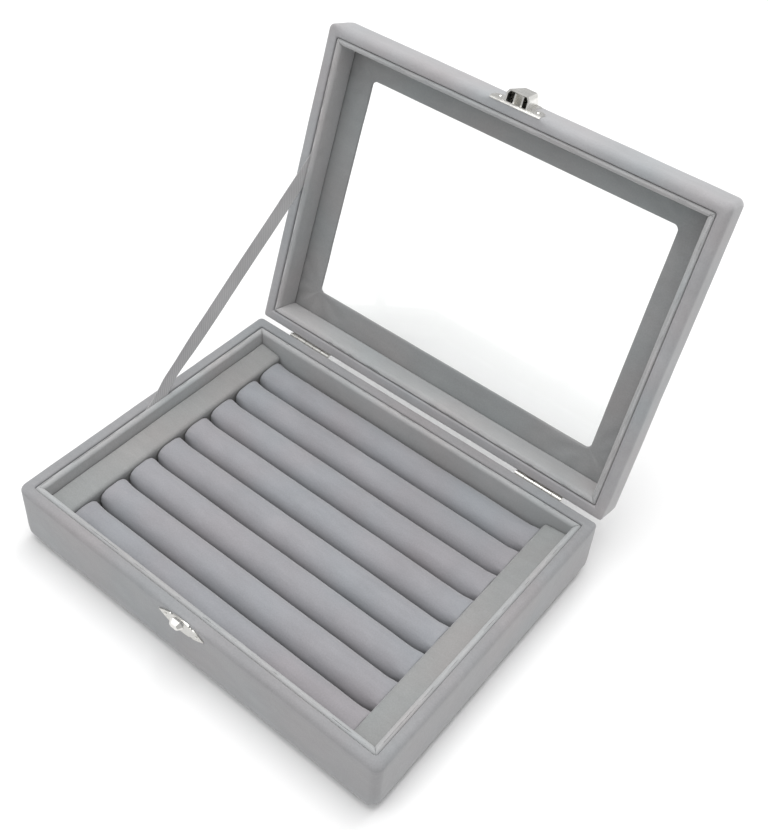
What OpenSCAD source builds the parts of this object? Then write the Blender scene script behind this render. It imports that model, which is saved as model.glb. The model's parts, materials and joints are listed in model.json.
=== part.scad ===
// Ring display box: a velvet-wrapped case with a glass-window lid, two butt hinges,
// a stamped snap latch, a ribbon stay and eight foam rolls that hold rings between them.
// Origin: centre of the underside. X runs left to right, Y front to back, Z up.
// The lid stands open, leaning back on its ribbon.

/* [Box] */
// Outside width, left to right
box_w = 200; // [170:1:260]
// Outside depth, front to back
box_d = 152; // [130:1:200]
// Height of the base, underside to rim
base_h = 33; // [31:0.5:50]
// Height of the lid, rim to top face
lid_h = 19.4; // [18:0.2:32]
// Thickness of the wrapped outer walls
wall_t = 5; // [4.4:0.1:7]
// Thickness of the floor board
floor_t = 3; // [2:0.1:5]
// Thickness of the lid's top board
top_t = 4.4; // [3.4:0.1:7]
// Thickness of the sheet glued under the base
sheet_t = 0.8; // [0.4:0.1:1.5]
// How far the underside sheet stays in from the outside
sheet_inset = 6; // [5:0.5:15]
// Radius of the upright outer corners
corner_r = 3; // [2:0.5:8]
// Radius of the long edges at the underside and at the lid's top
edge_r = 5; // [2:0.5:6]
// Radius of the outer edges of both rims
rim_r = 1.8; // [1:0.1:2.4]
// Radius of the inner edges of both rims
lip_r = 0.8; // [0.4:0.1:1.5]
// Gap between the rims when the lid is shut
rim_gap = 0.3; // [0.1:0.1:0.8]
// Angle at which the ribbon stops the lid
open_angle = 107; // [95:1:115]

/* [Liner] */
// Thickness of the wrapped liner boards
liner_t = 2.5; // [1.5:0.1:4]
// Groove between the liner and the outer wall
groove = 0.5; // [0.4:0.1:1]
// How far the liner's top lies below the rim
liner_drop = 0.3; // [0.1:0.1:2]
// Gap in each mitred liner corner
mitre_gap = 0.1; // [0.05:0.05:0.4]

/* [Insert] */
// Thickness of the velvet floor pad
pad_t = 1.6; // [0.8:0.1:3]
// Thickness of the insert's card
card_t = 1.5; // [0.8:0.1:3]
// Gap round the pad and the insert, inside the liner
insert_gap = 0.5; // [0.3:0.1:1]
// Width of each end rail
rail_w = 12.3; // [8:0.1:20]
// How far the rails' top faces lie below the rim
rail_drop = 8.7; // [3:0.1:10]
// Radius of the rails' top edges
rail_r = 1.2; // [0.5:0.1:3]
// Gap between neighbouring ring rolls
roll_gap = 0.2; // [0.1:0.05:0.5]
// Radius of the rolls' drawn-in ends
roll_end_r = 1.6; // [0.5:0.1:3]

/* [Window] */
// Width of the lid's border, from the liner's inner face to the window
window_border = 12.8; // [11:0.1:30]
// Corner radius of the window opening
window_r = 2.5; // [1:0.5:8]
// Bevel round the window on the outside
window_bevel = 1; // [0.4:0.1:1.4]
// Thickness of the glass
glass_t = 1.8; // [1.2:0.1:2]
// How far the glass runs under its frame on each side
glass_lap = 6; // [3:0.5:10]
// Gap round the glass in its rebate
glass_gap = 0.3; // [0.1:0.1:0.6]
// Thickness of the velvet window frame
frame_t = 1.4; // [0.8:0.1:2.5]

/* [Hinges] */
// Length of each hinge
hinge_l = 24.5; // [16:0.5:36]
// Distance from the box's end to the middle of its hinge
hinge_inset = 32; // [24:1:60]
// Thickness of the hinge leaves
leaf_t = 0.45; // [0.3:0.05:0.6]
// How far each leaf runs from the rim along the rear face
leaf_h = 8.8; // [7:0.2:12]
// Radius of the hinge pin
pin_r = 0.5; // [0.4:0.05:0.6]
// Radial clearance round the hinge pin
pin_gap = 0.05; // [0.02:0.01:0.08]
// How far the hinge axis stands out from the rear face
axis_out = 0.7; // [0.6:0.05:1.2]
// How far the hinge axis lies below the base's rim
axis_drop = 0.4; // [0.2:0.05:0.6]
// Side gap between neighbouring knuckles
knuckle_gap = 0.25; // [0.15:0.05:0.5]
// Gap between a leaf's edge and the other leaf's knuckles
leaf_gap = 0.3; // [0.2:0.05:0.6]
// Distance from a leaf's end to its nail
leaf_nail_in = 4.9; // [3:0.1:7]

/* [Latch] */
// Thickness of the stamped latch plates
plate_t = 0.6; // [0.4:0.05:1]
// Length of both latch plates
plate_l = 25; // [22:0.5:30]
// Height of the winged base plate
wing_h = 8.2; // [6:0.2:10]
// How far the base plate's top edge lies below the rim
wing_drop = 0.4; // [0.2:0.1:3]
// Distance from a wing's tip to its nail
wing_nail_in = 3.9; // [3:0.1:5]
// Width of the knob's head
knob_w = 7; // [4:0.1:8]
// Height of the knob's head
knob_h = 4.8; // [3:0.1:6]
// Radius of the knob's shank
knob_shank_r = 0.9; // [0.7:0.05:1]
// Metal left between the knob's shank and the plate's top edge
knob_land = 0.6; // [0.4:0.1:1]
// How far the knob's head reaches above the base's rim
knob_rise = 1.4; // [0.6:0.1:2]
// Gap behind the knob's head
knob_neck = 0.8; // [0.6:0.1:1.2]
// Thickness of the knob's head
knob_t = 3; // [2:0.1:3.4]
// Width of the hood at its mouth
hood_w = 11.2; // [10:0.1:12.4]
// How far the hood stands out from its plate
hood_out = 5.2; // [5:0.1:6.4]
// Length of the hood, mouth to back
hood_l = 12.4; // [9:0.1:13]
// Wall thickness of the hood
hood_t = 0.5; // [0.4:0.05:0.7]
// Length of the hood's level top, from the mouth
hood_level = 10.6; // [7:0.1:11.6]
// How much lower the hood is at its back
hood_slope = 2.2; // [1:0.1:2.6]
// How much each cheek of the hood draws in towards the back
hood_taper = 1.8; // [0.4:0.1:2.2]
// Height of the bevels along the hood's top
hood_bevel_h = 1.5; // [0.8:0.1:2]
// How far the plate reaches past the hood's sides and back
hood_rim = 0.4; // [0.2:0.1:0.8]
// Width of the bevels along the hood's top
hood_bevel = 0.9; // [0.4:0.1:1.5]
// Distance of the latch's plates from the rim
plate_edge = 0.3; // [0.2:0.1:1]
// Radius of the ears that carry the lid plate's nails
ear_r = 3; // [2.2:0.1:3.6]
// Angle through which the lid plate's lip curls over the rim
lip_angle = 60; // [30:5:60]
// Height of the lid plate's straight strip above its lip
strip_h = 1; // [0.6:0.1:2]
// Distance from the lip to the nails in the ears
ear_in = 1.8; // [1.4:0.1:2.6]
// Spacing of the two spring legs inside the hood
leg_spacing = 3.8; // [3.2:0.1:4.2]
// Width of the spring strip
leg_t = 0.7; // [0.4:0.1:0.9]
// Length of the spring legs
leg_l = 4.2; // [3:0.1:4.6]

/* [Nails] */
// Radius of the nails' shanks
nail_r = 0.55; // [0.4:0.05:0.7]
// Length of the nails' shanks, in the wall
nail_l = 3.4; // [2:0.1:3.8]
// Radius of the nails' domed heads
head_r = 1.1; // [0.9:0.05:1.3]
// Height of the nails' domed heads
head_h = 0.5; // [0.3:0.05:0.8]
// Radial clearance of the nails in their holes
nail_gap = 0.04; // [0.02:0.01:0.08]
// Depth of the holes beyond the nails' ends
hole_spare = 0.5; // [0.2:0.1:0.8]

/* [Ribbon] */
// Width of the stay ribbon
ribbon_w = 10.4; // [4:0.2:14]
// Thickness of the stay ribbon
ribbon_t = 0.3; // [0.2:0.05:0.35]
// Place of the ribbon at the base's rim, from the middle
ribbon_base_y = -2.4; // [-20:1:20]
// Place of the ribbon at the lid's rim, from the middle
ribbon_lid_y = -4.6; // [-20:1:20]
// Length tucked into each groove
ribbon_tail = 9; // [6:0.5:11]

/* [Hidden] */
$fn = 64;
// Steps in a quarter turn of the rounded edges
arc_n = 8;
// Overlap that carries a cut clear of a face
cut = 1;
// Thickness of the slices that a hull joins
slice_t = 0.01;
// Small radius left on hard edges
hard_r = 0.25;

// The space inside the outer walls, and the liner in it, as half sizes
cav_x = box_w / 2 - wall_t;
cav_y = box_d / 2 - wall_t;
liner_x = cav_x - groove;
liner_y = cav_y - groove;
inner_x = liner_x - liner_t;
inner_y = liner_y - liner_t;
base_depth = base_h - sheet_t - floor_t;
lid_depth = lid_h - top_t;

// Levels of the insert
pad_z = sheet_t + floor_t;
card_z = pad_z + pad_t;
roll_z = card_z + card_t;
rail_z = base_h - rail_drop;

// The ring rolls share the depth inside the liner
roll_count = 8;
roll_pitch = 2 * inner_y / roll_count;
roll_r = (roll_pitch - roll_gap) / 2;
rail_in = inner_x - insert_gap - rail_w;
roll_half = rail_in - roll_gap;

// The window, and the glass that runs under its frame
window_w = 2 * (inner_x - window_border);
window_d = 2 * (inner_y - window_border);
glass_w = window_w + 2 * glass_lap;
glass_d = window_d + 2 * glass_lap;

// Hinge axis, and the knuckles along it
hinge_x = box_w / 2 - hinge_inset;
hinge_y = box_d / 2 + axis_out;
hinge_z = base_h - axis_drop;
knuckle_count = 5;
knuckle_r = pin_r + pin_gap + leaf_t;
knuckle_l = (hinge_l - (knuckle_count - 1) * knuckle_gap) / knuckle_count;
base_knuckles = [0, 2, 4];
lid_knuckles = [1, 3];
base_axis = -axis_drop;
lid_axis = axis_drop + rim_gap;
hinge_nail_x = hinge_l / 2 - leaf_nail_in;
hinge_nail_z = (leaf_h + knuckle_r) / 2 + leaf_gap;
hole_r = nail_r + nail_gap;

// Latch places, as distances from the middle and from the rim
wing_z = wing_drop + wing_h / 2;
wing_nail_x = plate_l / 2 - wing_nail_in;
ear_nail_x = plate_l / 2 - ear_r;
ear_nail_z = rim_r + ear_in;
knob_z = wing_drop + knob_land + knob_shank_r;

// The hood's mouth stands back from the plate's edge, and its floor is pressed in a little
hood_mouth = plate_edge + 0.2;
hood_floor = 0.1;

// Notches of the wing plate: radius as a share of its height, distance from the knob in radii
notch_share = 0.16;
notch_off = 1.6;

// Shares of the knob's head: its back, the depth of its widest section, and its front face
knob_back = 0.8;
knob_belly = 0.4;
knob_face_w = 0.64;
knob_face_h = 0.56;

// Gap between the lip and the rim's rounding, and how far the lip runs on under the flat plate
lip_gap = 0.03;
lip_lap = 5;

// The ribbon lies in the middle of the left groove
ribbon_x = -(cav_x - groove / 2);
ribbon_low = [ribbon_base_y, base_h];
ribbon_high = lid_point(ribbon_lid_y, base_h + rim_gap);
ribbon_run = ribbon_high - ribbon_low;
ribbon_angle = atan2(ribbon_run[1], ribbon_run[0]);

// A point of the shut lid, as [y, z], carried to where it stands open
function lid_point(y, z) = [
    hinge_y + (y - hinge_y) * cos(open_angle) + (z - hinge_z) * sin(open_angle),
    hinge_z - (y - hinge_y) * sin(open_angle) + (z - hinge_z) * cos(open_angle)];

// Points of an arc about c, from angle a0 to a1
function arc(c, r, a0, a1, n = arc_n) =
    [for (i = [0:n]) c + r * [cos(a0 + (a1 - a0) * i / n), sin(a0 + (a1 - a0) * i / n)]];

// Rectangle with its corners rounded, centred
module plan(w, d, r) {
    polygon(concat(
        arc([w / 2 - r, d / 2 - r], r, 0, 90),
        arc([r - w / 2, d / 2 - r], r, 90, 180),
        arc([r - w / 2, r - d / 2], r, 180, 270),
        arc([w / 2 - r, r - d / 2], r, 270, 360)));
}

// Upright section from z0 to z1, with its own radius at the low and at the high corners
module section(half, z0, z1, r_low, r_high) {
    polygon(concat(
        arc([half - r_low, z0 + r_low], r_low, 270, 360),
        arc([half - r_high, z1 - r_high], r_high, 0, 90),
        arc([r_high - half, z1 - r_high], r_high, 90, 180),
        arc([r_low - half, z0 + r_low], r_low, 180, 270)));
}

// Section of a cavity that flares over its rim at z = 0
module flared_section(half, depth, r) {
    polygon(concat(
        [[-half, -depth], [half, -depth]],
        arc([half + r, -r], r, 180, 90),
        [[half + r, cut], [-half - r, cut]],
        arc([-half - r, -r], r, 90, 0)));
}

// A flat drawing stood up and run along Y or along X
module along_y(length) {
    rotate([90, 0, 0]) linear_extrude(length, center = true) children();
}

module along_x(length) {
    rotate([90, 0, 90]) linear_extrude(length, center = true) children();
}

// A piece drawn under the rim at z = 0, set in the base
module in_base() {
    translate([0, 0, base_h]) children();
}

// The same, turned over and set in the open lid
module in_lid() {
    translate([0, hinge_y, hinge_z])
        rotate([-open_angle, 0, 0])
            translate([0, -hinge_y, base_h + rim_gap - hinge_z])
                mirror([0, 0, 1])
                    children();
}

// Open-topped case with rounded edges, its rim at z = 0
module tub(h, depth) {
    difference() {
        intersection() {
            along_y(box_d + 2 * cut) section(box_w / 2, -h, 0, edge_r, rim_r);
            along_x(box_w + 2 * cut) section(box_d / 2, -h, 0, edge_r, rim_r);
            translate([0, 0, -h]) linear_extrude(h) plan(box_w, box_d, corner_r);
        }
        intersection() {
            along_y(box_d) flared_section(cav_x, depth, lip_r);
            along_x(box_w) flared_section(cav_y, depth, lip_r);
        }
    }
}

// Hole for one nail, or the nail itself, driven along +Y from a face at y = 0
module nail_hole(depth) {
    rotate([-90, 0, 0]) translate([0, 0, -cut]) cylinder(h = depth + cut, r = hole_r);
}

module nail(plate) {
    dome_r = (head_r * head_r + head_h * head_h) / (2 * head_h);
    dome_a = asin(head_r / dome_r);
    dome = arc([0, head_h - dome_r], dome_r, 90 - dome_a, 90);
    rotate([90, 0, 0])
        rotate_extrude()
            polygon(concat([[0, -nail_l - plate], [nail_r, -nail_l - plate], [nail_r, 0]], dome));
}

// Places of the nails that hold the hinge leaves, on the rear face
module at_hinge_nails() {
    for (side = [-1, 1], nail_side = [-1, 1])
        translate([side * hinge_x + nail_side * hinge_nail_x, box_d / 2, -hinge_nail_z])
            rotate([0, 0, 180])
                children();
}

// Places of the latch nails, on the front face
module at_latch_nails(x, z) {
    for (side = [-1, 1])
        translate([side * x, -box_d / 2, -z])
            children();
}

module base_shell() {
    color("#9a9da1")
        in_base()
            difference() {
                tub(base_h - sheet_t, base_depth);
                at_hinge_nails() nail_hole(nail_l + hole_spare);
                at_latch_nails(wing_nail_x, wing_z) nail_hole(nail_l + hole_spare);
            }
}

module underside_sheet() {
    color("#8b8e91")
        linear_extrude(sheet_t)
            plan(box_w - 2 * sheet_inset, box_d - 2 * sheet_inset, corner_r / 2);
}

// Board along the front of the liner, its mitred ends at 45 degrees
module liner_board(half_length, out, depth) {
    reach = half_length - mitre_gap;
    top_r = liner_t / 2;
    intersection() {
        along_x(2 * half_length)
            polygon(concat(
                [[-out, -depth], [liner_t - out, -depth]],
                arc([top_r - out, -liner_drop - top_r], top_r, 0, 180, 2 * arc_n)));
        translate([0, 0, -depth])
            linear_extrude(depth)
                polygon([[-reach, -out], [reach, -out],
                    [reach - liner_t, liner_t - out], [liner_t - reach, liner_t - out]]);
    }
}

// Liner board number 0 to 3: front, right, back, left
module liner_side(number, depth) {
    long = number % 2 == 0;
    rotate([0, 0, 90 * number])
        liner_board(long ? liner_x : liner_y, long ? liner_y : liner_x, depth);
}

module base_liner(number) {
    color("#a3a6aa") in_base() liner_side(number, base_depth);
}

module floor_pad() {
    color("#8f9296")
        translate([0, 0, pad_z])
            linear_extrude(pad_t)
                square([2 * (inner_x - insert_gap), 2 * (inner_y - insert_gap)], center = true);
}

module insert_card() {
    color("#8f9296")
        translate([0, 0, card_z])
            linear_extrude(card_t)
                square([2 * (inner_x - insert_gap), 2 * (inner_y - insert_gap)], center = true);
}

// End rail with softly rounded top edges, on the right or mirrored to the left
module rail(side) {
    half_y = inner_y - insert_gap;
    color("#a6a9a6")
        translate([side * (rail_in + rail_w / 2), 0, 0])
            intersection() {
                along_y(2 * half_y) section(rail_w / 2, roll_z, rail_z, hard_r, rail_r);
                along_x(rail_w) section(half_y, roll_z, rail_z, hard_r, rail_r);
            }
}

// Foam roll number 1 to 8, front to back, its ends drawn in by the wrapping
module ring_roll(number) {
    y = (number - (roll_count + 1) / 2) * roll_pitch;
    end = roll_half - roll_end_r;
    color("#9c9da5")
        translate([0, y, roll_z + roll_gap / 2 + roll_r])
            rotate([0, 90, 0])
                rotate_extrude($fn = 96)
                    polygon(concat(
                        [[0, -roll_half]],
                        arc([roll_r - roll_end_r, -end], roll_end_r, 270, 360),
                        arc([roll_r - roll_end_r, end], roll_end_r, 0, 90),
                        [[0, roll_half]]));
}

// Window opening with the rebate for the glass and a bevel on the outside
module window_cut() {
    bevel_w = window_w + 2 * window_bevel;
    bevel_d = window_d + 2 * window_bevel;
    translate([0, 0, -lid_h - cut])
        linear_extrude(top_t + 2 * cut)
            plan(window_w, window_d, window_r);
    translate([0, 0, -lid_depth - glass_t])
        linear_extrude(glass_t + cut)
            plan(glass_w + 2 * glass_gap, glass_d + 2 * glass_gap, hard_r);
    hull() {
        translate([0, 0, -lid_h + window_bevel])
            linear_extrude(slice_t)
                plan(window_w, window_d, window_r);
        translate([0, 0, -lid_h - slice_t])
            linear_extrude(slice_t)
                plan(bevel_w, bevel_d, window_r + window_bevel);
    }
}

module lid_shell() {
    color("#a7aaae")
        in_lid()
            difference() {
                tub(lid_h, lid_depth);
                window_cut();
                at_hinge_nails() nail_hole(nail_l + hole_spare);
                at_latch_nails(ear_nail_x, ear_nail_z) nail_hole(nail_l + hole_spare);
            }
}

module lid_liner(number) {
    color("#a3a6aa") in_lid() liner_side(number, lid_depth - frame_t);
}

module window_frame() {
    color("#7c8082")
        in_lid()
            translate([0, 0, -lid_depth])
                linear_extrude(frame_t)
                    difference() {
                        square([2 * liner_x, 2 * liner_y], center = true);
                        plan(window_w, window_d, window_r);
                    }
}

module window_glass() {
    color("#e8f0f2", 0.35)
        in_lid()
            translate([0, 0, -lid_depth - glass_t])
                linear_extrude(glass_t)
                    plan(glass_w, glass_d, hard_r);
}

// Left end of knuckle i, from the middle of its hinge
function knuckle_x(i) = i * (knuckle_l + knuckle_gap) - hinge_l / 2;

// Leaf on the rear face, its strips rolled round the pin at the knuckles listed in own
module hinge_leaf(side, axis_z, own) {
    edge_z = axis_z - knuckle_r - leaf_gap;
    translate([side * hinge_x, 0, 0])
        difference() {
            union() {
                translate([-hinge_l / 2, box_d / 2, -leaf_h])
                    cube([hinge_l, leaf_t, leaf_h + edge_z]);
                for (i = own) {
                    translate([knuckle_x(i), box_d / 2, edge_z - leaf_t])
                        cube([knuckle_l, leaf_t, axis_z - edge_z + leaf_t]);
                    translate([knuckle_x(i), hinge_y, axis_z])
                        rotate([0, 90, 0])
                            cylinder(h = knuckle_l, r = knuckle_r);
                }
            }
            translate([-hinge_l / 2 - cut, hinge_y, axis_z])
                rotate([0, 90, 0])
                    cylinder(h = hinge_l + 2 * cut, r = pin_r + pin_gap);
            for (nail_side = [-1, 1])
                translate([nail_side * hinge_nail_x, box_d / 2 + leaf_t, -hinge_nail_z])
                    rotate([0, 0, 180])
                        nail_hole(leaf_t + cut);
        }
}

module hinge_base_leaf(side) {
    color("#c8c8c6") in_base() hinge_leaf(side, base_axis, base_knuckles);
}

module hinge_lid_leaf(side) {
    color("#c8c8c6") in_lid() hinge_leaf(side, lid_axis, lid_knuckles);
}

module hinge_pin(side) {
    length = hinge_l + 2 * knuckle_gap;
    color("#b4b4b2")
        translate([side * hinge_x - length / 2, hinge_y, hinge_z])
            rotate([0, 90, 0])
                cylinder(h = length, r = pin_r);
}

module hinge_base_nails() {
    color("#b9b9b7") in_base() at_hinge_nails() translate([0, -leaf_t, 0]) nail(leaf_t);
}

module hinge_lid_nails() {
    color("#b9b9b7") in_lid() at_hinge_nails() translate([0, -leaf_t, 0]) nail(leaf_t);
}

// Outline of the base plate: two leaf-shaped wings that meet in a round middle
module wing_outline() {
    half_l = plate_l / 2;
    half_h = wing_h / 2;
    bow_r = (half_l * half_l + half_h * half_h) / (2 * half_h);
    notch_r = wing_h * notch_share;
    notch_x = knob_w / 2 + notch_off * notch_r;
    difference() {
        intersection() {
            translate([0, bow_r - half_h]) circle(bow_r, $fn = 128);
            translate([0, half_h - bow_r]) circle(bow_r, $fn = 128);
        }
        for (x = [-notch_x, notch_x], y = [-half_h, half_h])
            translate([x, y])
                circle(notch_r);
        for (x = [-wing_nail_x, wing_nail_x])
            translate([x, 0])
                circle(hole_r);
        translate([0, wing_z - knob_z]) circle(knob_shank_r + nail_gap);
    }
}

module latch_wing_plate() {
    color("#c3c2be")
        in_base()
            translate([0, -box_d / 2, -wing_z])
                rotate([90, 0, 0])
                    linear_extrude(plate_t)
                        wing_outline();
}

// Slice of the knob's faceted head, w wide and h high, at a distance y from the plate
module knob_slice(y, w, h) {
    bevel = h / 3;
    translate([0, -y, 0])
        rotate([90, 0, 0])
            linear_extrude(slice_t)
                polygon([[bevel - w / 2, -h / 2], [w / 2 - bevel, -h / 2], [w / 2, bevel - h / 2],
                    [w / 2, h / 2 - bevel], [w / 2 - bevel, h / 2], [bevel - w / 2, h / 2],
                    [-w / 2, h / 2 - bevel], [-w / 2, bevel - h / 2]]);
}

module latch_knob() {
    shank_l = plate_t + knob_neck + knob_t / 2;
    head_z = knob_rise - knob_h / 2;
    color("#e2e1dc")
        in_base() {
            translate([0, -box_d / 2 - plate_t, head_z])
                hull() {
                    knob_slice(knob_neck, knob_w * knob_back, knob_h * knob_back);
                    knob_slice(knob_neck + knob_t * knob_belly, knob_w, knob_h);
                    knob_slice(knob_neck + knob_t, knob_w * knob_face_w, knob_h * knob_face_h);
                }
            translate([0, -box_d / 2, -knob_z])
                rotate([90, 0, 0])
                    cylinder(h = shank_l, r = knob_shank_r);
        }
}

module latch_base_nails() {
    color("#b9b9b7")
        in_base()
            at_latch_nails(wing_nail_x, wing_z)
                translate([0, -plate_t, 0])
                    nail(plate_t);
}

// Outline of the lid plate's flat part: straight along the rim, with a round ear at each nail
module ear_outline() {
    reach = plate_edge + hood_l + hood_rim;
    difference() {
        union() {
            translate([-plate_l / 2, -rim_r - strip_h]) square([plate_l, strip_h]);
            translate([-hood_w / 2 - hood_rim, -reach])
                square([hood_w + 2 * hood_rim, reach - rim_r]);
            for (x = [-ear_nail_x, ear_nail_x])
                translate([x, -ear_nail_z])
                    circle(ear_r);
        }
        for (x = [-ear_nail_x, ear_nail_x])
            translate([x, -ear_nail_z])
                circle(hole_r);
        translate([-plate_l, -rim_r]) square([2 * plate_l, ear_r]);
    }
}

// Lip of the lid's plate, curled over the rounded rim
module plate_lip() {
    middle = [rim_r - box_d / 2, -rim_r];
    along_x(plate_l)
        polygon(concat(
            arc(middle, rim_r + plate_t, 180 + lip_lap, 180 - lip_angle),
            arc(middle, rim_r + lip_gap, 180 - lip_angle, 180 + lip_lap)));
}

// Section of the hood at a distance z from the rim: w wide, out high, its foot in the plate
function hood_section(z, w, out, foot) =
    let (cheek = out - hood_bevel_h, low_x = w / 2, top_x = w / 2 - hood_bevel)
        [for (p = [[-low_x, foot], [-low_x, -cheek], [-top_x, -out],
            [top_x, -out], [low_x, -cheek], [low_x, foot]])
            [p[0], p[1] - box_d / 2 - plate_t, -z]];

// Solid through sections of as many points each, from the lowest section to the highest
module loft(sections) {
    n = len(sections[0]);
    last = len(sections) - 1;
    polyhedron(
        points = [for (section = sections) each section],
        faces = [
            [for (i = [0:n - 1]) i],
            [for (i = [n - 1:-1:0]) last * n + i],
            for (k = [0:last - 1]) for (i = [0:n - 1])
                [k * n + i, (k + 1) * n + i, (k + 1) * n + (i + 1) % n, k * n + (i + 1) % n]]);
}

// The hood as a solid, drawn in by inset, its mouth at a distance mouth from the rim
module hood_body(mouth, inset, foot) {
    wide = hood_w - 2 * inset;
    tall = hood_out - inset;
    narrow = wide - 2 * hood_taper;
    loft([
        hood_section(plate_edge + hood_l - inset, narrow, tall - hood_slope, foot),
        hood_section(plate_edge + hood_level, narrow, tall, foot),
        hood_section(mouth, wide, tall, foot)]);
}

module latch_hood() {
    color("#cfceca")
        in_lid()
            difference() {
                union() {
                    translate([0, -box_d / 2, 0])
                        rotate([90, 0, 0])
                            linear_extrude(plate_t)
                                ear_outline();
                    plate_lip();
                    hood_body(hood_mouth, 0, plate_t / 2);
                }
                hood_body(-cut, hood_t, hood_floor);
            }
}

// Spring strip bent to a U on the plate, its two legs standing in the hood's mouth
module latch_spring() {
    foot_z = knob_rise + rim_gap;
    web_z = foot_z + leg_l + leg_t;
    deep = hood_out - 2 * hood_t;
    color("#d8d7d2")
        in_lid()
            translate([0, hood_floor - box_d / 2 - plate_t, 0])
                rotate([90, 0, 0])
                    linear_extrude(deep)
                        difference() {
                            translate([-(leg_spacing + leg_t) / 2, -web_z])
                                square([leg_spacing + leg_t, web_z - foot_z]);
                            translate([(leg_t - leg_spacing) / 2, leg_t - web_z])
                                square([leg_spacing - leg_t, web_z]);
                        }
}

module latch_lid_nails() {
    color("#b9b9b7")
        in_lid()
            at_latch_nails(ear_nail_x, ear_nail_z)
                translate([0, -plate_t, 0])
                    nail(plate_t);
}

// Flat ribbon, taut from the base's left groove to the lid's, its tails tucked in
module stay_ribbon() {
    length = norm(ribbon_run) + 2 * ribbon_tail;
    color("#8d9094")
        translate([ribbon_x - ribbon_t / 2, ribbon_low[0], ribbon_low[1]])
            rotate([ribbon_angle, 0, 0])
                translate([0, -ribbon_tail, -ribbon_w / 2])
                    cube([ribbon_t, length, ribbon_w]);
}

base_shell();
underside_sheet();
base_liner(0);  // base_liner_front
base_liner(1);  // base_liner_right
base_liner(2);  // base_liner_back
base_liner(3);  // base_liner_left
floor_pad();
insert_card();
rail(-1);  // rail_left
rail(1);  // rail_right
ring_roll(1);  // ring_roll_1
ring_roll(2);  // ring_roll_2
ring_roll(3);  // ring_roll_3
ring_roll(4);  // ring_roll_4
ring_roll(5);  // ring_roll_5
ring_roll(6);  // ring_roll_6
ring_roll(7);  // ring_roll_7
ring_roll(8);  // ring_roll_8
lid_shell();
lid_liner(0);  // lid_liner_front
lid_liner(1);  // lid_liner_right
lid_liner(2);  // lid_liner_back
lid_liner(3);  // lid_liner_left
window_frame();
window_glass();
hinge_base_leaf(-1);  // hinge_left_base_leaf
hinge_lid_leaf(-1);  // hinge_left_lid_leaf
hinge_pin(-1);  // hinge_left_pin
hinge_base_leaf(1);  // hinge_right_base_leaf
hinge_lid_leaf(1);  // hinge_right_lid_leaf
hinge_pin(1);  // hinge_right_pin
hinge_base_nails();
hinge_lid_nails();
latch_wing_plate();
latch_knob();
latch_base_nails();
latch_hood();
latch_spring();
latch_lid_nails();
stay_ribbon();
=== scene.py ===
"""Looks of the ring display box: velvet-wrapped base and lid, ring rolls, glass, nickel fittings."""
import json
import math

import bmesh
import bpy
from mathutils import Matrix, Vector, noise


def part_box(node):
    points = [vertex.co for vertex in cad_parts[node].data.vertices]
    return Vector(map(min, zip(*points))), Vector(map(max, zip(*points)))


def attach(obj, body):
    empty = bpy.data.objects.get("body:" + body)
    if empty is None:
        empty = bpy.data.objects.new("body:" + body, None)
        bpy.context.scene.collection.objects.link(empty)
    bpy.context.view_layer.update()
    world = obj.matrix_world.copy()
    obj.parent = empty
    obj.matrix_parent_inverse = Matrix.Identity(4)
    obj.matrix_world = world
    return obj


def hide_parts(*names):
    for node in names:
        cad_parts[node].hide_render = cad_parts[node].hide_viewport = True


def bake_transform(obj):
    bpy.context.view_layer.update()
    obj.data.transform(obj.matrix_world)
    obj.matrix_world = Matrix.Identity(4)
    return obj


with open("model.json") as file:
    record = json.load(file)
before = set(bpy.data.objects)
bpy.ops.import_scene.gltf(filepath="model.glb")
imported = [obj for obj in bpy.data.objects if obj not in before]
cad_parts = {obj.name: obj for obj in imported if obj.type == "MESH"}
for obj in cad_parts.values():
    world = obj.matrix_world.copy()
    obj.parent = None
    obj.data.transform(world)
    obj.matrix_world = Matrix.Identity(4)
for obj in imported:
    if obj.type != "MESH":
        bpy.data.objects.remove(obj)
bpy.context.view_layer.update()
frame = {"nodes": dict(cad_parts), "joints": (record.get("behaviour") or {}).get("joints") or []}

MM = 1000

# Sizes in millimetres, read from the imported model
BOX_HALF_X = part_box("base_shell")[1].x * MM
BOX_HALF_Y = -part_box("base_shell")[0].y * MM
BASE_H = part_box("base_shell")[1].z * MM
SHEET_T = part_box("underside_sheet")[1].z * MM
CARD_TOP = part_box("insert_card")[1].z * MM
PAD_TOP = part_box("floor_pad")[1].z * MM
PAD_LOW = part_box("floor_pad")[0].z * MM
RAIL_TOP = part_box("rail_left")[1].z * MM
RAIL_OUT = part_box("rail_right")[1].x * MM
RAIL_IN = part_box("rail_right")[0].x * MM
INSERT_HALF_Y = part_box("rail_right")[1].y * MM
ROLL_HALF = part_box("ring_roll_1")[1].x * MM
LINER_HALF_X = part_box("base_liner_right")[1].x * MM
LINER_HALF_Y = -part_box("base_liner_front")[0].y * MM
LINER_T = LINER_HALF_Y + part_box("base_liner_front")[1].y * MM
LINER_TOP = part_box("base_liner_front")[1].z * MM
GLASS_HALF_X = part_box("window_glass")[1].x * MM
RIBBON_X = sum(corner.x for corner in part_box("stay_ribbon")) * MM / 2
HINGE = Vector(frame["joints"][0]["pos_m"]) * MM

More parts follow.
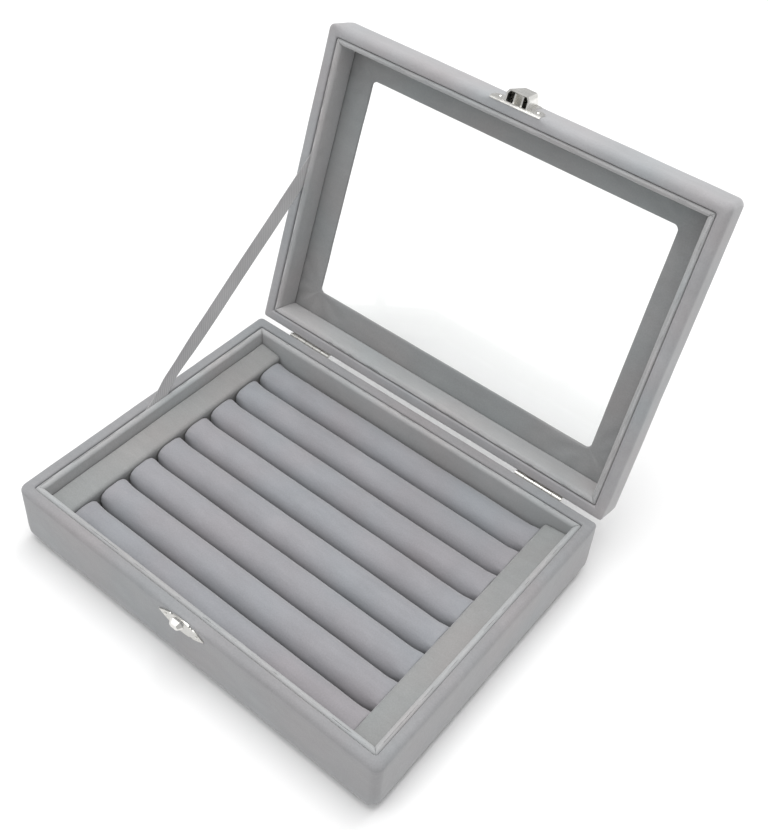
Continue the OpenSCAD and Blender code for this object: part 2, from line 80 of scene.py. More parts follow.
# Sizes that no node's box gives, as the part's source has them
LID_H = 19.4
LID_DEPTH = 15.0
WALL_T = 5.0
RIM_GAP = 0.3
SHEET_INSET = 6
FRAME_T = 1.4
GLASS_T = 1.8
GLASS_LAP = 6.0
GLASS_GAP = 0.3
WINDOW_INSET = BOX_HALF_X - GLASS_HALF_X + GLASS_LAP
REBATE_INSET = BOX_HALF_X - GLASS_HALF_X - GLASS_GAP
WINDOW_R = 2.5
ROLLS = 8
PLATE_HALF = 12.5
RIBBON_W = 10.4
RIBBON_BASE_Y = -2.4
RIBBON_LID_Y = -4.6
OPEN_ANGLE = math.radians(107)

# Velvet over the shells: radii of corners, outer edges and the rim, soft or drawn tight
BASE_CORNER_R = 4.0
BASE_EDGE_R = 6.2
BASE_RIM_R = 2.6
LID_CORNER_R = 2.6
LID_EDGE_R = 6.0
LID_RIM_R = 3.2
TIGHT_RIM_R = 1.1
LIP_R = 0.9
LIP_CORNER_R = 1.2
INNER_CORNER_R = 0.8
EDGE_CORNER_EXTRA = 0.6
REAR_CORNERS = 0.5
WINDOW_NOSE_R = 2.4
WINDOW_SET_BACK = 1.6

# Where the rim is tight, and over what length it turns soft
TIGHT_BAND = 8
TIGHT_FADE = 5
LATCH_SPARE = 3
LATCH_FADE = 2.5

# Unevenness of the wrapped shells: height, then (share, size of its lumps, change of seed)
SHELL_RIPPLE = 0.16
SHELL_LUMPS = ((1.0, 42, 0), (0.5, 13, 2), (0.25, 4.5, 4))

# Liner boards: side, and how far the pile swells into the groove in the base and in the lid
BOARDS = (("front", 0.48, 0.25), ("right", 0.45, 0.25), ("back", 0.3, 0.2), ("left", 0.08, 0.08))

# A drawing in millimetres under a rim at z = 0, placed in the base or in the open lid
TO_METRES = Matrix.Scale(1 / MM, 4)
IN_PART = TO_METRES
IN_BASE = TO_METRES @ Matrix.Translation((0, 0, BASE_H))
IN_LID = (
    TO_METRES
    @ Matrix.Translation((0, HINGE.y, HINGE.z))
    @ Matrix.Rotation(-OPEN_ANGLE, 4, "X")
    @ Matrix.Translation((0, -HINGE.y, BASE_H + RIM_GAP - HINGE.z))
    @ Matrix.Diagonal((1, 1, -1, 1))
)

# Camera, at the photograph's viewing angle
IMAGE_W = 768
IMAGE_H = 830
FOCAL_PX = 1185.3
CENTRE_PX = (396.64, 350.53)
CAMERA_AZIMUTH = math.radians(34.76)
CAMERA_ELEVATION = math.radians(42.74)
CAMERA_ROLL = math.radians(5.47)
CAMERA_AT = Vector((0.21249, -0.25196, 0.43209))
SENSOR_MM = 36
NEAR_CLIP = 0.01


def add_camera():
    az, el = CAMERA_AZIMUTH, CAMERA_ELEVATION
    back = Vector((math.sin(az) * math.cos(el), -math.cos(az) * math.cos(el), math.sin(el)))
    level = Vector((0, 0, 1)).cross(back).normalized()
    upright = back.cross(level)
    turn = Matrix.Rotation(CAMERA_ROLL, 3, back)
    right, up = turn @ level, turn @ upright
    data = bpy.data.cameras.new("camera")
    data.sensor_width = SENSOR_MM
    data.lens = FOCAL_PX * SENSOR_MM / IMAGE_H
    data.shift_x = (IMAGE_W / 2 - CENTRE_PX[0]) / IMAGE_H
    data.shift_y = (CENTRE_PX[1] - IMAGE_H / 2) / IMAGE_H
    data.clip_start = NEAR_CLIP
    camera = bpy.data.objects.new("camera", data)
    axes = Matrix((right, up, back)).transposed().to_4x4()
    camera.matrix_world = Matrix.Translation(CAMERA_AT) @ axes
    bpy.context.collection.objects.link(camera)
    bpy.context.scene.camera = camera


# Materials. Blender's noise mostly fills NOISE_RANGE.
NOISE_RANGE = (0.3, 0.7)
PATCH_RANGE = (0.25, 0.72)


class Shading:
    """A node tree being built: each call adds a node and gives back its output."""

    def __init__(self, name):
        self.material = bpy.data.materials.new(name)
        self.material.use_nodes = True
        self.tree = self.material.node_tree
        self.shader = self.tree.nodes["Principled BSDF"]
        self.place = self.add("ShaderNodeTexCoord").outputs["Object"]

    def add(self, kind, **settings):
        node = self.tree.nodes.new(kind)
        for key, value in settings.items():
            setattr(node, key, value)
        return node

    def link(self, source, target):
        self.tree.links.new(source, target)

    def stretched(self, scale):
        node = self.add("ShaderNodeMapping")
        node.inputs["Scale"].default_value = scale
        self.link(self.place, node.inputs["Vector"])
        return node.outputs["Vector"]

    def shifted(self, shift):
        node = self.add("ShaderNodeVectorMath", operation="ADD")
        node.inputs[1].default_value = shift
        self.link(self.place, node.inputs[0])
        return node.outputs["Vector"]

    def noise(self, scale, detail=2.0, roughness=0.5, place=None, distortion=0.0):
        node = self.add("ShaderNodeTexNoise")
        node.inputs["Scale"].default_value = scale
        node.inputs["Detail"].default_value = detail
        node.inputs["Roughness"].default_value = roughness
        node.inputs["Distortion"].default_value = distortion
        self.link(place or self.place, node.inputs["Vector"])
        return node.outputs["Fac"]

    def ramp(self, source, low, high, at=NOISE_RANGE):
        node = self.add("ShaderNodeValToRGB")
        for element, where, colour in zip(node.color_ramp.elements, at, (low, high)):
            element.position = where
            element.color = (*colour, 1)
        self.link(source, node.inputs["Fac"])
        return node.outputs["Color"]

    def spread(self, source, low, high):
        node = self.add("ShaderNodeMapRange")
        node.inputs["From Min"].default_value = NOISE_RANGE[0]
        node.inputs["From Max"].default_value = NOISE_RANGE[1]
        node.inputs["To Min"].default_value = low
        node.inputs["To Max"].default_value = high
        self.link(source, node.inputs["Value"])
        return node.outputs["Result"]

    def times(self, first, second):
        node = self.add("ShaderNodeMix", data_type="RGBA", blend_type="MULTIPLY")
        node.inputs["Factor"].default_value = 1.0
        self.link(first, node.inputs["A"])
        self.link(second, node.inputs["B"])
        return node.outputs["Result"]

    def bump(self, height, distance, strength, under=None):
        node = self.add("ShaderNodeBump")
        node.inputs["Strength"].default_value = strength
        node.inputs["Distance"].default_value = distance
        self.link(height, node.inputs["Height"])
        if under is not None:
            self.link(under, node.inputs["Normal"])
        return node.outputs["Normal"]

    def base_colour(self, source):
        self.link(source, self.shader.inputs["Base Color"])

    def roughness(self, source):
        self.link(source, self.shader.inputs["Roughness"])

    def normal(self, source):
        self.link(source, self.shader.inputs["Normal"])

    def set(self, **sockets):
        for key, value in sockets.items():
            self.shader.inputs[key.replace("_", " ")].default_value = value


def grey(value, tint=(1, 1, 1)):
    return tuple(value * t for t in tint)


# Velvet: tints of its patches, scales of its noises per metre, darkest share of each
COOL_TINT = (0.96, 1.005, 1.03)
WARM_TINT = (1.03, 0.99, 1.0)
SEED_SHIFT = (1, 0.37, 0.71)
PATCH_SCALE, PATCH_DARK = 32, 0.88
STROKE_STRETCH, STROKE_DARK = (90, 420, 300), 0.95
PILE_SCALE, PILE_DARK = 1500, 0.91
HUE_SCALE = 21
SOFT_SCALE = 260
SOFT_DEPTH = 0.0002
PILE_DEPTH = 0.00012
VELVET_ROUGH = (0.86, 0.97)


def velvet(name, value, tint, seed):
    """Short pile: brushed patches, a faint lie of the nap, a fine grain and soft bump."""
    s = Shading(name)
    cool = tuple(t * c for t, c in zip(tint, COOL_TINT))
    warm = tuple(t * c for t, c in zip(tint, WARM_TINT))
    place = s.shifted([seed * share for share in SEED_SHIFT])
    patches = s.noise(PATCH_SCALE, detail=3, roughness=0.55, place=place, distortion=0.6)
    hue = s.noise(HUE_SCALE, place=place)
    strokes = s.noise(1, place=s.stretched(STROKE_STRETCH))
    pile = s.noise(PILE_SCALE, roughness=0.6)
    colour = s.ramp(hue, grey(value, cool), grey(value, warm))
    colour = s.times(colour, s.ramp(patches, grey(PATCH_DARK), grey(1.0), PATCH_RANGE))
    colour = s.times(colour, s.ramp(strokes, grey(STROKE_DARK), grey(1.0)))
    colour = s.times(colour, s.ramp(pile, grey(PILE_DARK), grey(1.0)))
    s.base_colour(colour)
    s.roughness(s.spread(patches, *VELVET_ROUGH))
    soft = s.bump(s.noise(SOFT_SCALE, detail=3, roughness=0.55), SOFT_DEPTH, 0.5)
    s.normal(s.bump(pile, PILE_DEPTH, 0.6, soft))
    s.set(Sheen_Weight=0.45, Sheen_Roughness=0.45, Specular_IOR_Level=0.2)
    return s.material


def woven(name, value, tint):
    """Ribbon: fine cross ribs with a plain edge."""
    ribs_per_metre, rib_dark, rib_depth = 260, 0.85, 0.0001
    s = Shading(name)
    wave = s.add("ShaderNodeTexWave", wave_type="BANDS", bands_direction="Y")
    wave.inputs["Scale"].default_value = ribs_per_metre
    wave.inputs["Distortion"].default_value = 0.6
    wave.inputs["Detail"].default_value = 1
    s.link(s.place, wave.inputs["Vector"])
    ribs = wave.outputs["Fac"]
    patches = s.noise(60)
    ground = s.ramp(patches, grey(value * 0.9, tint), grey(value, tint))
    s.base_colour(s.times(ground, s.ramp(ribs, grey(rib_dark), grey(1.0))))
    s.roughness(s.spread(patches, 0.6, 0.75))
    s.normal(s.bump(ribs, rib_depth, 0.6))
    s.set(Sheen_Weight=0.3, Sheen_Roughness=0.4, Specular_IOR_Level=0.3)
    return s.material


def nickel(name, rough, colour):
    """Bright plated steel: polished, with handling marks and a faint orange peel."""
    scratch_stretch, scratch_depth = (600, 4200, 900), 0.00002
    peel_scale, peel_depth = 700, 0.00005
    s = Shading(name)
    smudge = s.noise(140, detail=3, roughness=0.6)
    scratches = s.noise(1, roughness=0.6, place=s.stretched(scratch_stretch))
    s.base_colour(s.ramp(smudge, grey(0.88, colour), colour))
    s.roughness(s.spread(smudge, *rough))
    peel = s.bump(s.noise(peel_scale), peel_depth, 0.25)
    s.normal(s.bump(scratches, scratch_depth, 0.35, peel))
    s.set(Metallic=1.0)
    return s.material


def clear_glass(name):
    s = Shading(name)
    s.roughness(s.spread(s.noise(90), 0.0, 0.03))
    s.set(Base_Color=(0.985, 0.995, 0.99, 1), Transmission_Weight=1.0, IOR=1.45)
    return s.material


# One grey velvet in copies whose tones are set per part for how light falls on them. The liner copy
# is lighter, as painted light that offsets the shade inside the box. The lid copy is lighter than
# the base's, as painted light. The frame copy is darker than the liner round it, as painted shade in
# the lid's recess. The outer copy is darkened, as painted shade against light bounced from the
# floor.
VELVET_OUTER = velvet("velvet_outer", 0.315, (1.0, 1.0, 1.01), 0.0)
VELVET_LID_PAINTED_LIGHT = velvet("velvet_lid_painted_light", 0.38, (1.0, 1.0, 1.01), 3.0)
VELVET_LINER_PAINTED_LIGHT = velvet("velvet_liner", 0.43, (1.0, 1.005, 0.995), 7.0)
VELVET_FRAME_PAINTED_SHADE = velvet("velvet_frame_painted_shade", 0.32, (0.99, 1.01, 1.0), 11.0)
VELVET_RAIL = velvet("velvet_rail", 0.31, (1.0, 1.005, 0.98), 5.0)
VELVET_ROLL = velvet("velvet_roll", 0.325, (0.995, 0.99, 1.03), 13.0)
RIBBON = woven("ribbon", 0.64, (1.0, 0.99, 1.0))
NICKEL = nickel("bright_nickel", (0.16, 0.3), (0.8, 0.79, 0.76))
NICKEL_WORN = nickel("bright_nickel_worn", (0.25, 0.42), (0.68, 0.67, 0.64))
GLASS = clear_glass("clear_glass")


# Mesh helpers. Points are in millimetres in the drawing's frame.
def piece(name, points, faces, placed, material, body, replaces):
    mesh = bpy.data.meshes.new(name)
    mesh.from_pydata([placed @ Vector(p) for p in points], [], faces)
    mesh.validate()
    work = bmesh.new()
    work.from_mesh(mesh)
    bmesh.ops.recalc_face_normals(work, faces=work.faces)
    for face in work.faces:
        face.smooth = True
    work.to_mesh(mesh)
    work.free()
    mesh.materials.append(material)
    made = bpy.data.objects.new(name, mesh)
    bpy.context.collection.objects.link(made)
    if body:
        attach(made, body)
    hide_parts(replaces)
    return made


NOISE_SEED_STEP = (31.7, 17.3, 9.1)


def ripple(point, size, seed):
    """Smooth noise from -1 to 1 with lumps of about that size in millimetres."""
    return noise.noise((Vector(point) + Vector([seed * step for step in NOISE_SEED_STEP])) / size)


def smooth(t):
    t = min(1.0, max(0.0, t))
    return t * t * (3 - 2 * t)


def ring(half_x, half_y, radius, z, base_x, base_y, spacing=2.5, arc_steps=10, rear=1.0):
    """Points round a rectangle with round corners, the rear ones' radius times rear.

    Rings with the same base have as many points.
    """
    rear *= radius
    steps_x = max(2, round(2 * base_x / spacing))
    steps_y = max(2, round(2 * base_y / spacing))
    corners = (
        (half_x - rear, half_y - rear, rear, 0, steps_x),
        (rear - half_x, half_y - rear, rear, 90, steps_y),
        (radius - half_x, radius - half_y, radius, 180, steps_x),
        (half_x - radius, radius - half_y, radius, 270, steps_y),
    )
    points = []
    for i, (cx, cy, r, start, steps) in enumerate(corners):
        for k in range(arc_steps + 1):
            a = math.radians(start + 90 * k / arc_steps)
            points.append(Vector((cx + r * math.cos(a), cy + r * math.sin(a), z)))
        nx, ny, n_r, n_start, _ = corners[(i + 1) % 4]
        a = math.radians(n_start)
        end = Vector((nx + n_r * math.cos(a), ny + n_r * math.sin(a), z))
        begin = points[-1]
        for k in range(1, steps):
            points.append(begin.lerp(end, k / steps))
    return points


def skin(rings, closed=False):
    """Faces between rings of as many points each, with flat caps or closed on itself."""
    n = len(rings[0])
    points = [p for r in rings for p in r]
    pairs = len(rings) if closed else len(rings) - 1
    faces = []
    for k in range(pairs):
        a, b = k * n, (k + 1) % len(rings) * n
        for i in range(n):
            j = (i + 1) % n
            faces.append((a + i, a + j, b + j, b + i))
    if not closed:
        faces.append(tuple(range(n - 1, -1, -1)))
        faces.append(tuple((len(rings) - 1) * n + i for i in range(n)))
    return points, faces


def arc(cx, cy, radius, start, end, steps):
    """Points of an arc in a profile of (inset, z)."""
    turns = [math.radians(start + (end - start) * k / steps) for k in range(steps + 1)]
    return [(cx + radius * math.cos(a), cy + radius * math.sin(a)) for a in turns]


def line(start, end, steps):
    """Points from start to end of a profile, without either end."""
    shares = [k / steps for k in range(1, steps)]
    return [tuple(a + (b - a) * t for a, b in zip(start, end)) for t in shares]


def stations_along(half, half_section, end_r, end_shares, arc_steps, steps):
    """Places along a bar with rounded ends, each with its share of the full section."""
    turns = [math.radians(90 * k / arc_steps) for k in range(arc_steps + 1)]
    ends = [(0.0, share) for share in end_shares] + [
        (end_r * (1 - math.cos(a)), 1 - end_r / half_section * (1 - math.sin(a))) for a in turns
    ]
    inner = half - end_r
    return (
        [(-half + e, share) for e, share in ends]
        + [(-inner + 2 * inner * k / steps, 1.0) for k in range(1, steps)]
        + [(half - e, share) for e, share in reversed(ends)]
    )


def tightness(p):
    """1 where the velvet is tight over the rim: at the rear, at the left and under the latch."""
    rear = smooth((p.y - BOX_HALF_Y + TIGHT_BAND) / TIGHT_FADE)
    left = smooth((TIGHT_BAND - BOX_HALF_X - p.x) / TIGHT_FADE)
    latch = smooth((PLATE_HALF + LATCH_SPARE - abs(p.x)) / LATCH_FADE) * (p.y < 0)
    return max(rear, left, latch)


def outward(p):
    """Unit vector away from the shell's middle, square to the nearest wall."""
    sharpness = 9
    out = Vector(((p.x / BOX_HALF_X) ** sharpness, (p.y / BOX_HALF_Y) ** sharpness, 0))
    return out.normalized()


def wrapped_rings(profile, rim_r, seed):
    """Rings of a velvet-wrapped shell. A profile's point is (inset, z, corner radius)."""
    calm_inset = WALL_T - 1
    rings = []
    for soft, tight in zip(profile(rim_r), profile(TIGHT_RIM_R)):
        points, drawn = (
            ring(BOX_HALF_X - inset, BOX_HALF_Y - inset, soft[2], z, BOX_HALF_X, BOX_HALF_Y,
                 rear=REAR_CORNERS)
            for inset, z, _ in (soft, tight)
        )
        points = [p.lerp(q, tightness(p)) for p, q in zip(points, drawn)]
        if soft[0] < calm_inset:
            for p in points:
                lumps = [share * ripple(p, size, seed + more) for share, size, more in SHELL_LUMPS]
                p += outward(p) * SHELL_RIPPLE * sum(lumps)
        rings.append(points)
    return rings


def with_radius(profile, radius):
    return [(a, b, radius) for a, b in profile]


# The base's shell: from the middle of its underside, up the wall, over the rim, to the floor
def base_profile(rim_r):
    low = SHEET_T - BASE_H
    floor = PAD_LOW - BASE_H
    edge, corner = BASE_EDGE_R, BASE_CORNER_R
    middle, half_way, underside_r = 40, 20, 2
    return (
        with_radius([(middle, low), (half_way, low), (edge + 3, low)], underside_r)
        + with_radius(arc(edge, low + edge, edge, 270, 180, 10), corner + EDGE_CORNER_EXTRA)
        + with_radius(line((0, low + edge), (0, -rim_r), 9), corner)
        + with_radius(arc(rim_r, -rim_r, rim_r, 180, 90, 8), corner)
        + with_radius(arc(WALL_T - LIP_R, -LIP_R, LIP_R, 90, 0, 5), LIP_CORNER_R)
        + with_radius(line((WALL_T, -LIP_R), (WALL_T, floor), 4), INNER_CORNER_R)
        + with_radius([(WALL_T, floor), (half_way, floor), (middle, floor)], INNER_CORNER_R)
    )


def base_shell():
    points, faces = skin(wrapped_rings(base_profile, BASE_RIM_R, 1))
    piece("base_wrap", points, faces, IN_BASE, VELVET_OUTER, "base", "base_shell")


# The lid's shell: a closed loop from the rim down the outside, round the window, back up inside
def lid_profile(rim_r):
    low = -LID_H
    seat = -LID_DEPTH - GLASS_T
    nose = WINDOW_NOSE_R
    opening = WINDOW_INSET - WINDOW_SET_BACK
    edge, corner = LID_EDGE_R, LID_CORNER_R
    return (
        with_radius(arc(rim_r, -rim_r, rim_r, 90, 180, 8), corner)
        + with_radius(line((0, -rim_r), (0, low + edge), 5), corner)
        + with_radius(arc(edge, low + edge, edge, 180, 270, 10), corner + EDGE_CORNER_EXTRA)
        + with_radius(line((edge, low), (opening - nose, low), 5), WINDOW_R)
        + with_radius(arc(opening - nose, low + nose, nose, 270, 360, 8), WINDOW_R)
        + with_radius([(opening, seat)], WINDOW_R)
        + with_radius([(REBATE_INSET, seat), (REBATE_INSET, -LID_DEPTH)], INNER_CORNER_R)
        + with_radius([(WALL_T, -LID_DEPTH)], INNER_CORNER_R)
        + with_radius(line((WALL_T, -LID_DEPTH), (WALL_T, -LIP_R), 4), INNER_CORNER_R)
        + with_radius(arc(WALL_T - LIP_R, -LIP_R, LIP_R, 0, 90, 5), LIP_CORNER_R)
    )


def lid_shell():
    points, faces = skin(wrapped_rings(lid_profile, LID_RIM_R, 6), closed=True)
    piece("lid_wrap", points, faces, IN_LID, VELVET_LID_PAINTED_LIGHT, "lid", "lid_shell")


# One velvet-covered liner board, mitred, its pile swelling out into the groove by swell
def liner_board(name, number, depth, placed, body, seed, swell, foot_gap):
    out_r, in_r, foot_r = 0.7, 1.8, 0.5
    mitre = 0.03
    end_places = [0.0, 0.15, 0.35, 0.6, 0.9, 1.3, 2.0]
    draw_in, end_dip, end_pull = 0.8, 0.2, 0.12
    spacing = 2.5
    puff, lump, lump_size = 0.28, 0.13, 26
    wave, wave_size = 0.14, 30
    top_zone, swell_zone = 3, 1.1

    long = number % 2 == 0
    half, out = (LINER_HALF_X, LINER_HALF_Y) if long else (LINER_HALF_Y, LINER_HALF_X)
    turn = Matrix.Rotation(math.radians(90 * number), 4, "Z")
    top = LINER_TOP - BASE_H
    foot = foot_gap - depth
    profile = (
        [(0.0, foot)]
        + line((0.0, foot), (0.0, top - out_r), 6)
        + arc(out_r, top - out_r, out_r, 180, 90, 5)
        + arc(LINER_T - in_r, top - in_r, in_r, 90, 0, 7)
        + line((LINER_T, top - in_r), (LINER_T, foot + foot_r), 6)
        + arc(LINER_T - foot_r, foot + foot_r, foot_r, 0, -90, 4)
    )
    steps = round(2 * half / spacing)
    stations = [("low", e) for e in end_places]
    stations += [("mid", k / steps) for k in range(2, steps - 1)]
    stations += [("high", e) for e in reversed(end_places)]
    rings = []
    for kind, value in stations:
        points = []
        for across, z in profile:
            reach = half - mitre - across
            if kind == "low":
                x, e = -reach + value, value
            elif kind == "high":
                x, e = reach - value, value
            else:
                x, e = -reach + 2 * reach * value, draw_in
            pull = max(0.0, 1 - e / draw_in) ** 2
            high = max(0.0, 1 + (z - top) / top_zone)
            inner = across / LINER_T
            spot = (x, across * 40 + seed * 50, z)
            belly = math.sin(math.pi * min(1.0, max(0.0, (z + depth) / depth)))
            inward = across - end_pull * pull * inner
            inward += inner * (puff * belly + lump * ripple(spot, lump_size, seed))
            inward -= swell * smooth(1 - across / out_r) * smooth((top - z) / swell_zone)
            z_soft = z - end_dip * pull * high
            z_soft += high * wave * ripple((x, 0, seed * 9), wave_size, seed + 1)
            points.append(turn @ Vector((x, inward - out, z_soft)))
        rings.append(points)
    points, faces = skin(rings)
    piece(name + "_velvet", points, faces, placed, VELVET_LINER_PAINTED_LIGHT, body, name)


def liner_boards():
    for number, (side, base_swell, lid_swell) in enumerate(BOARDS):
        liner_board("base_liner_" + side, number, BASE_H - PAD_LOW, IN_BASE, "base", number,
                    base_swell, foot_gap=0.0)
        liner_board("lid_liner_" + side, number, LID_DEPTH - FRAME_T, IN_LID, "lid", number + 4,
                    lid_swell, foot_gap=0.5)


# Block with soft edges, drawn by rings from its underside to its top
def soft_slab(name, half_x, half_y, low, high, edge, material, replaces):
    middle, rim, corner_r = half_y * 0.7, 6, 1.2
    edge = min(edge, (high - low) / 2)
    profile = (
        [(middle, low), (rim, low)]
        + arc(edge, low + edge, edge, 270, 180, 4)
        + arc(edge, high - edge, edge, 180, 90, 4)
        + [(rim, high), (middle, high)]
    )
    rings = [
        ring(half_x - a, half_y - a, corner_r, z, half_x, half_y, spacing=4, arc_steps=5)
        for a, z in profile
    ]
    points, faces = skin(rings)
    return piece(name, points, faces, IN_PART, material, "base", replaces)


def slabs():
    soft_slab("underside_velvet", BOX_HALF_X - SHEET_INSET, BOX_HALF_Y - SHEET_INSET, 0, SHEET_T,
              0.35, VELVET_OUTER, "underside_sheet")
    pad = soft_slab("floor_pad_foam", RAIL_OUT, INSERT_HALF_Y, PAD_LOW, PAD_TOP, 0.7,
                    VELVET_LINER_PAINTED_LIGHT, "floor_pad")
    soft_slab("insert_card_velvet", RAIL_OUT, INSERT_HALF_Y, PAD_TOP, CARD_TOP, 0.6,
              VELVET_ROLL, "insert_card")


# End rail: foam block in velvet, its top rising a little to the wall, its inner side undercut
def rail(name, side):
    low, high = CARD_TOP, RAIL_TOP
    out_r, in_r, low_r, end_r = 0.8, 1.6, 0.6, 0.9
    crown, rise, undercut, undercut_zone = 0.2, 1.6, 0.8, 5
    lump, lump_size = 0.2, 22
    dimple, dimple_size = 0.07, 6
    side_spacing = 1.6

    half_w = (RAIL_OUT - RAIL_IN) / 2
    mid_x = side * (RAIL_OUT + RAIL_IN) / 2
    mid_z = (low + high) / 2
    corners = []
    for cx, cz, r, start in (
        (half_w - out_r, high - out_r, out_r, 0),
        (in_r - half_w, high - in_r, in_r, 90),
        (low_r - half_w, low + low_r, low_r, 180),
        (half_w - low_r, low + low_r, low_r, 270),
    ):
        corners += arc(cx, cz, r, start, start + 90, 6)
    section = []
    for i, p in enumerate(corners):
        q = corners[(i + 1) % len(corners)]
        gap = math.hypot(q[0] - p[0], q[1] - p[1])
        section += [p] + line(p, q, max(1, round(gap / side_spacing)))
    rings = []
    for y, share in stations_along(INSERT_HALF_Y, half_w, end_r, (0.5, 0.7), 5, 56):
        points = []
        for x, z in section:
            upper = max(0.0, (z - mid_z) / (high - mid_z))
            out = x / half_w
            lift = upper * (crown * (1 - out ** 2) + rise * (0.5 + out / 2) ** 1.5)
            spot = (x * 1.4 + 90 * side, y, z)
            push = lump * upper * ripple(spot, lump_size, 3) + dimple * ripple(spot, dimple_size, 5)
            tuck = undercut * smooth((high - in_r - z) / undercut_zone) * smooth(-out * 2)
            dx = x * (share + push / half_w) + tuck
            dz = (z - mid_z) * (0.5 + share / 2) + lift + push * (z > high - 1)
            points.append(Vector((mid_x + side * dx, y, mid_z + dz)))
        rings.append(points)
    points, faces = skin(rings)
    made = piece(name + "_velvet", points, faces, IN_PART, VELVET_RAIL, "base",
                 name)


def power(value, exponent):
    return math.copysign(abs(value) ** exponent, value)


# Foam roll in velvet: pressed by its neighbours and onto the card, squarer and pinched at its ends
def ring_roll(number):
    settled = 1.3
    end_r = 0.6
    around, along = 72, 62
    end_zone = 7.0
    plump = 0.12
    lump, lump_size = 0.16, 30
    dimple, dimple_size = 0.06, 7
    pleat, pleats = 0.07, 13
    most_slim, most_pinch = 0.05, 0.12
    full_square, end_square = 0.9, 0.25
    spare = 0.03

    name = f"ring_roll_{number}"
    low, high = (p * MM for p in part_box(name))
    radius = (high.z - low.z) / 2
    mid = (low + high) / 2
    rings = []
    for x, share in stations_along(ROLL_HALF, radius, end_r, (0.25, 0.55), 6, along):
        near = smooth(1 - (ROLL_HALF - abs(x)) / end_zone)
        square = full_square - end_square * near
        points = []
        for k in range(around):
            a = 2 * math.pi * k / around
            across, up = math.cos(a), math.sin(a)
            spot = (x, 12 * across + number * 40, 12 * up)
            fold = pleat * near ** 2 * math.sin(pleats * a + number + 2 * ripple(spot, 9, 2))
            swell = lump * ripple(spot, lump_size, 8) + dimple * ripple(spot, dimple_size, 9)
            r = radius * share + (fold + swell + plump) * min(1.0, share * 1.2)
            slim = 1 - most_slim * (1 - smooth(-0.1 - 1.4 * up))
            pinch = 1 - most_pinch * near * smooth(-across * 2) * smooth(0.8 - up)
            y = r * slim * pinch * power(across, square)
            z = r * power(up, square) - settled
            y = max(-radius - spare, min(radius + spare, y))
            z = max(-radius, z)
            points.append(Vector((x, mid.y + y, mid.z + z)))
        rings.append(points)
    points, faces = skin(rings)
    made = piece(name + "_velvet", points, faces, IN_PART, VELVET_ROLL, "base",
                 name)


# Velvet-covered board round the window, pulled into faint creases at the window's corners
def window_frame():
    outer_corner_r = 0.6
    lump, lump_size = 0.10, 20
    dimple, dimple_size = 0.05, 6
    top = -(LID_DEPTH - FRAME_T)
    low = -LID_DEPTH
    r = FRAME_T / 2
    opening = WINDOW_INSET - (BOX_HALF_X - LINER_HALF_X)
    profile = (
        [(0.0, low), (0.0, top)]
        + line((0.0, top), (opening - r, top), 12)
        + arc(opening - r, (top + low) / 2, r, 90, -90, 8)
        + line((opening - r, low), (0.0, low), 4)
    )
    rings = []
    for inset, z in profile:
        radius = outer_corner_r + (WINDOW_R - outer_corner_r) * inset / opening
        points = ring(LINER_HALF_X - inset, LINER_HALF_Y - inset, radius, z,
                      LINER_HALF_X, LINER_HALF_Y, spacing=2.0, arc_steps=12)
        if z > low + 0.1:
            for p in points:
                p.z += lump * ripple(p, lump_size, 4) + dimple * ripple(p, dimple_size, 6)
                p.z += frame_crease(p)
        rings.append(points)
    points, faces = skin(rings, closed=True)
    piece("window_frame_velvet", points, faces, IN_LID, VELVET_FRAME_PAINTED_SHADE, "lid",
          "window_frame")


def frame_crease(p):
    """Height of the creases that fan out from each corner of the window."""
    height, reach, nearest, creases = 0.26, 24, 0.5, 9
    away = Vector((abs(p.x) - abs(BOX_HALF_X - WINDOW_INSET),
                   abs(p.y) - abs(BOX_HALF_Y - WINDOW_INSET)))
    far = away.length
    if far > reach or far < nearest:
        return 0.0
    angle = math.atan2(away.y, away.x) + 0.15 * ripple(p, 30, 12)
    fade = math.sin(math.pi * min(1.0, far / reach)) ** 0.7
    return height * fade * math.sin(angle * creases)


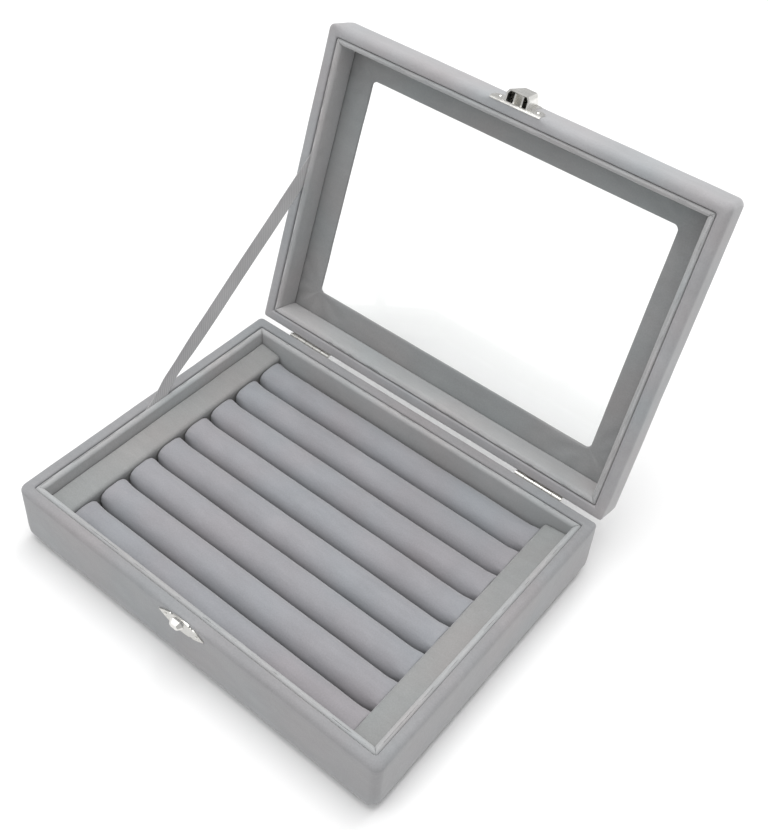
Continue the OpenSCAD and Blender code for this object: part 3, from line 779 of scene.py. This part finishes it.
# Ribbon from groove to groove: a thin lens in section, waisted and bent near its foot
def stay_ribbon():
    tail, thick = 8.5, 0.15
    along_steps, around = 110, 16
    waist_at, waist_spread, waist_share = 17, 13, 0.2
    foot_bend, foot_length = 3.0, 15
    slack_zone, cup_depth = 14, 0.35
    wave, wave_size = 0.25, 34
    fray, fray_size = 0.06, 5

    low = Vector((0, RIBBON_BASE_Y, BASE_H))
    high = IN_LID @ Vector((0, RIBBON_LID_Y, 0)) * MM
    high.x = 0
    run = high - low
    along = run.normalized()
    across = Vector((0, -along.z, along.y))
    rings = []
    for k in range(along_steps + 1):
        s = -tail + (run.length + 2 * tail) * k / along_steps
        free = min(1.0, max(0.0, min(s, run.length - s) / slack_zone))
        waist = math.exp(-((s - waist_at) / waist_spread) ** 2)
        width = RIBBON_W * (1 - waist_share * waist)
        turn_in = foot_bend * smooth(1 - s / foot_length)
        points = []
        for j in range(around):
            a = 2 * math.pi * j / around
            u = power(math.cos(a), 0.6) * width / 2
            t = math.sin(a) * thick
            cup = free * cup_depth * (1 - (2 * u / width) ** 2)
            cup += free * wave * ripple((s, 0, 0), wave_size, 21)
            sideways = u - turn_in + fray * ripple((s, u, 0), fray_size, 23)
            spot = low + along * s + across * sideways
            points.append(Vector((RIBBON_X - cup + t, spot.y, spot.z)))
        rings.append(points)
    points, faces = skin(rings)
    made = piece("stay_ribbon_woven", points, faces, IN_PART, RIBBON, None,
                 "stay_ribbon")
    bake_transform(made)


def clothe_cad():
    """Better materials on the rigid nodes whose CAD shape stays."""
    polished = ("latch_knob", "latch_hood", "latch_spring")
    for name, node in frame["nodes"].items():
        if name == "window_glass":
            material = GLASS
        elif name.startswith(("hinge_", "latch_")):
            material = NICKEL if name in polished else NICKEL_WORN
        else:
            continue
        node.data.materials.clear()
        node.data.materials.append(material)


# Floor, lights and surroundings
FLOOR_HALF = 4.0
FLOOR_TONES = (0.86, 0.88)
WORLD_STRENGTH = 0.575
LIGHT_AIM = (0, 0.03, 0.05)

# Name, place, diameter in metres and power in watts
LIGHTS = (
    ("overhead", (0.0, 0.0, 1.7), 1.2, 16),
    ("rear", (0.0, 0.8, 1.5), 1.0, 8.5),
    ("front", (-0.4, -0.95, 1.25), 1.2, 4),
)


def add_stage():
    s = Shading("floor")
    s.base_colour(s.ramp(s.noise(3), *(grey(tone) for tone in FLOOR_TONES)))
    s.set(Roughness=0.9, Specular_IOR_Level=0.1)
    mesh = bpy.data.meshes.new("floor")
    h = FLOOR_HALF
    mesh.from_pydata([(-h, -h, 0), (h, -h, 0), (h, h, 0), (-h, h, 0)], [], [(0, 1, 2, 3)])
    mesh.materials.append(s.material)
    floor = bpy.data.objects.new("floor", mesh)
    bpy.context.collection.objects.link(floor)


def add_lights():
    world = bpy.data.worlds.new("soft_studio")
    world.use_nodes = True
    background = world.node_tree.nodes["Background"]
    background.inputs["Color"].default_value = (1, 1, 1, 1)
    background.inputs["Strength"].default_value = WORLD_STRENGTH
    bpy.context.scene.world = world
    for name, at, size, watts in LIGHTS:
        data = bpy.data.lights.new(name, "AREA")
        data.shape = "DISK"
        data.size = size
        data.energy = watts
        light = bpy.data.objects.new(name, data)
        light.location = at
        aim = Vector(at) - Vector(LIGHT_AIM)
        light.rotation_euler = aim.to_track_quat("Z", "Y").to_euler()
        bpy.context.collection.objects.link(light)
    bpy.context.scene.view_settings.view_transform = "Standard"


add_camera()
clothe_cad()
base_shell()
lid_shell()
liner_boards()
slabs()
rail("rail_left", -1)
rail("rail_right", 1)
for number in range(1, ROLLS + 1):
    ring_roll(number)
window_frame()
stay_ribbon()
add_stage()
add_lights()
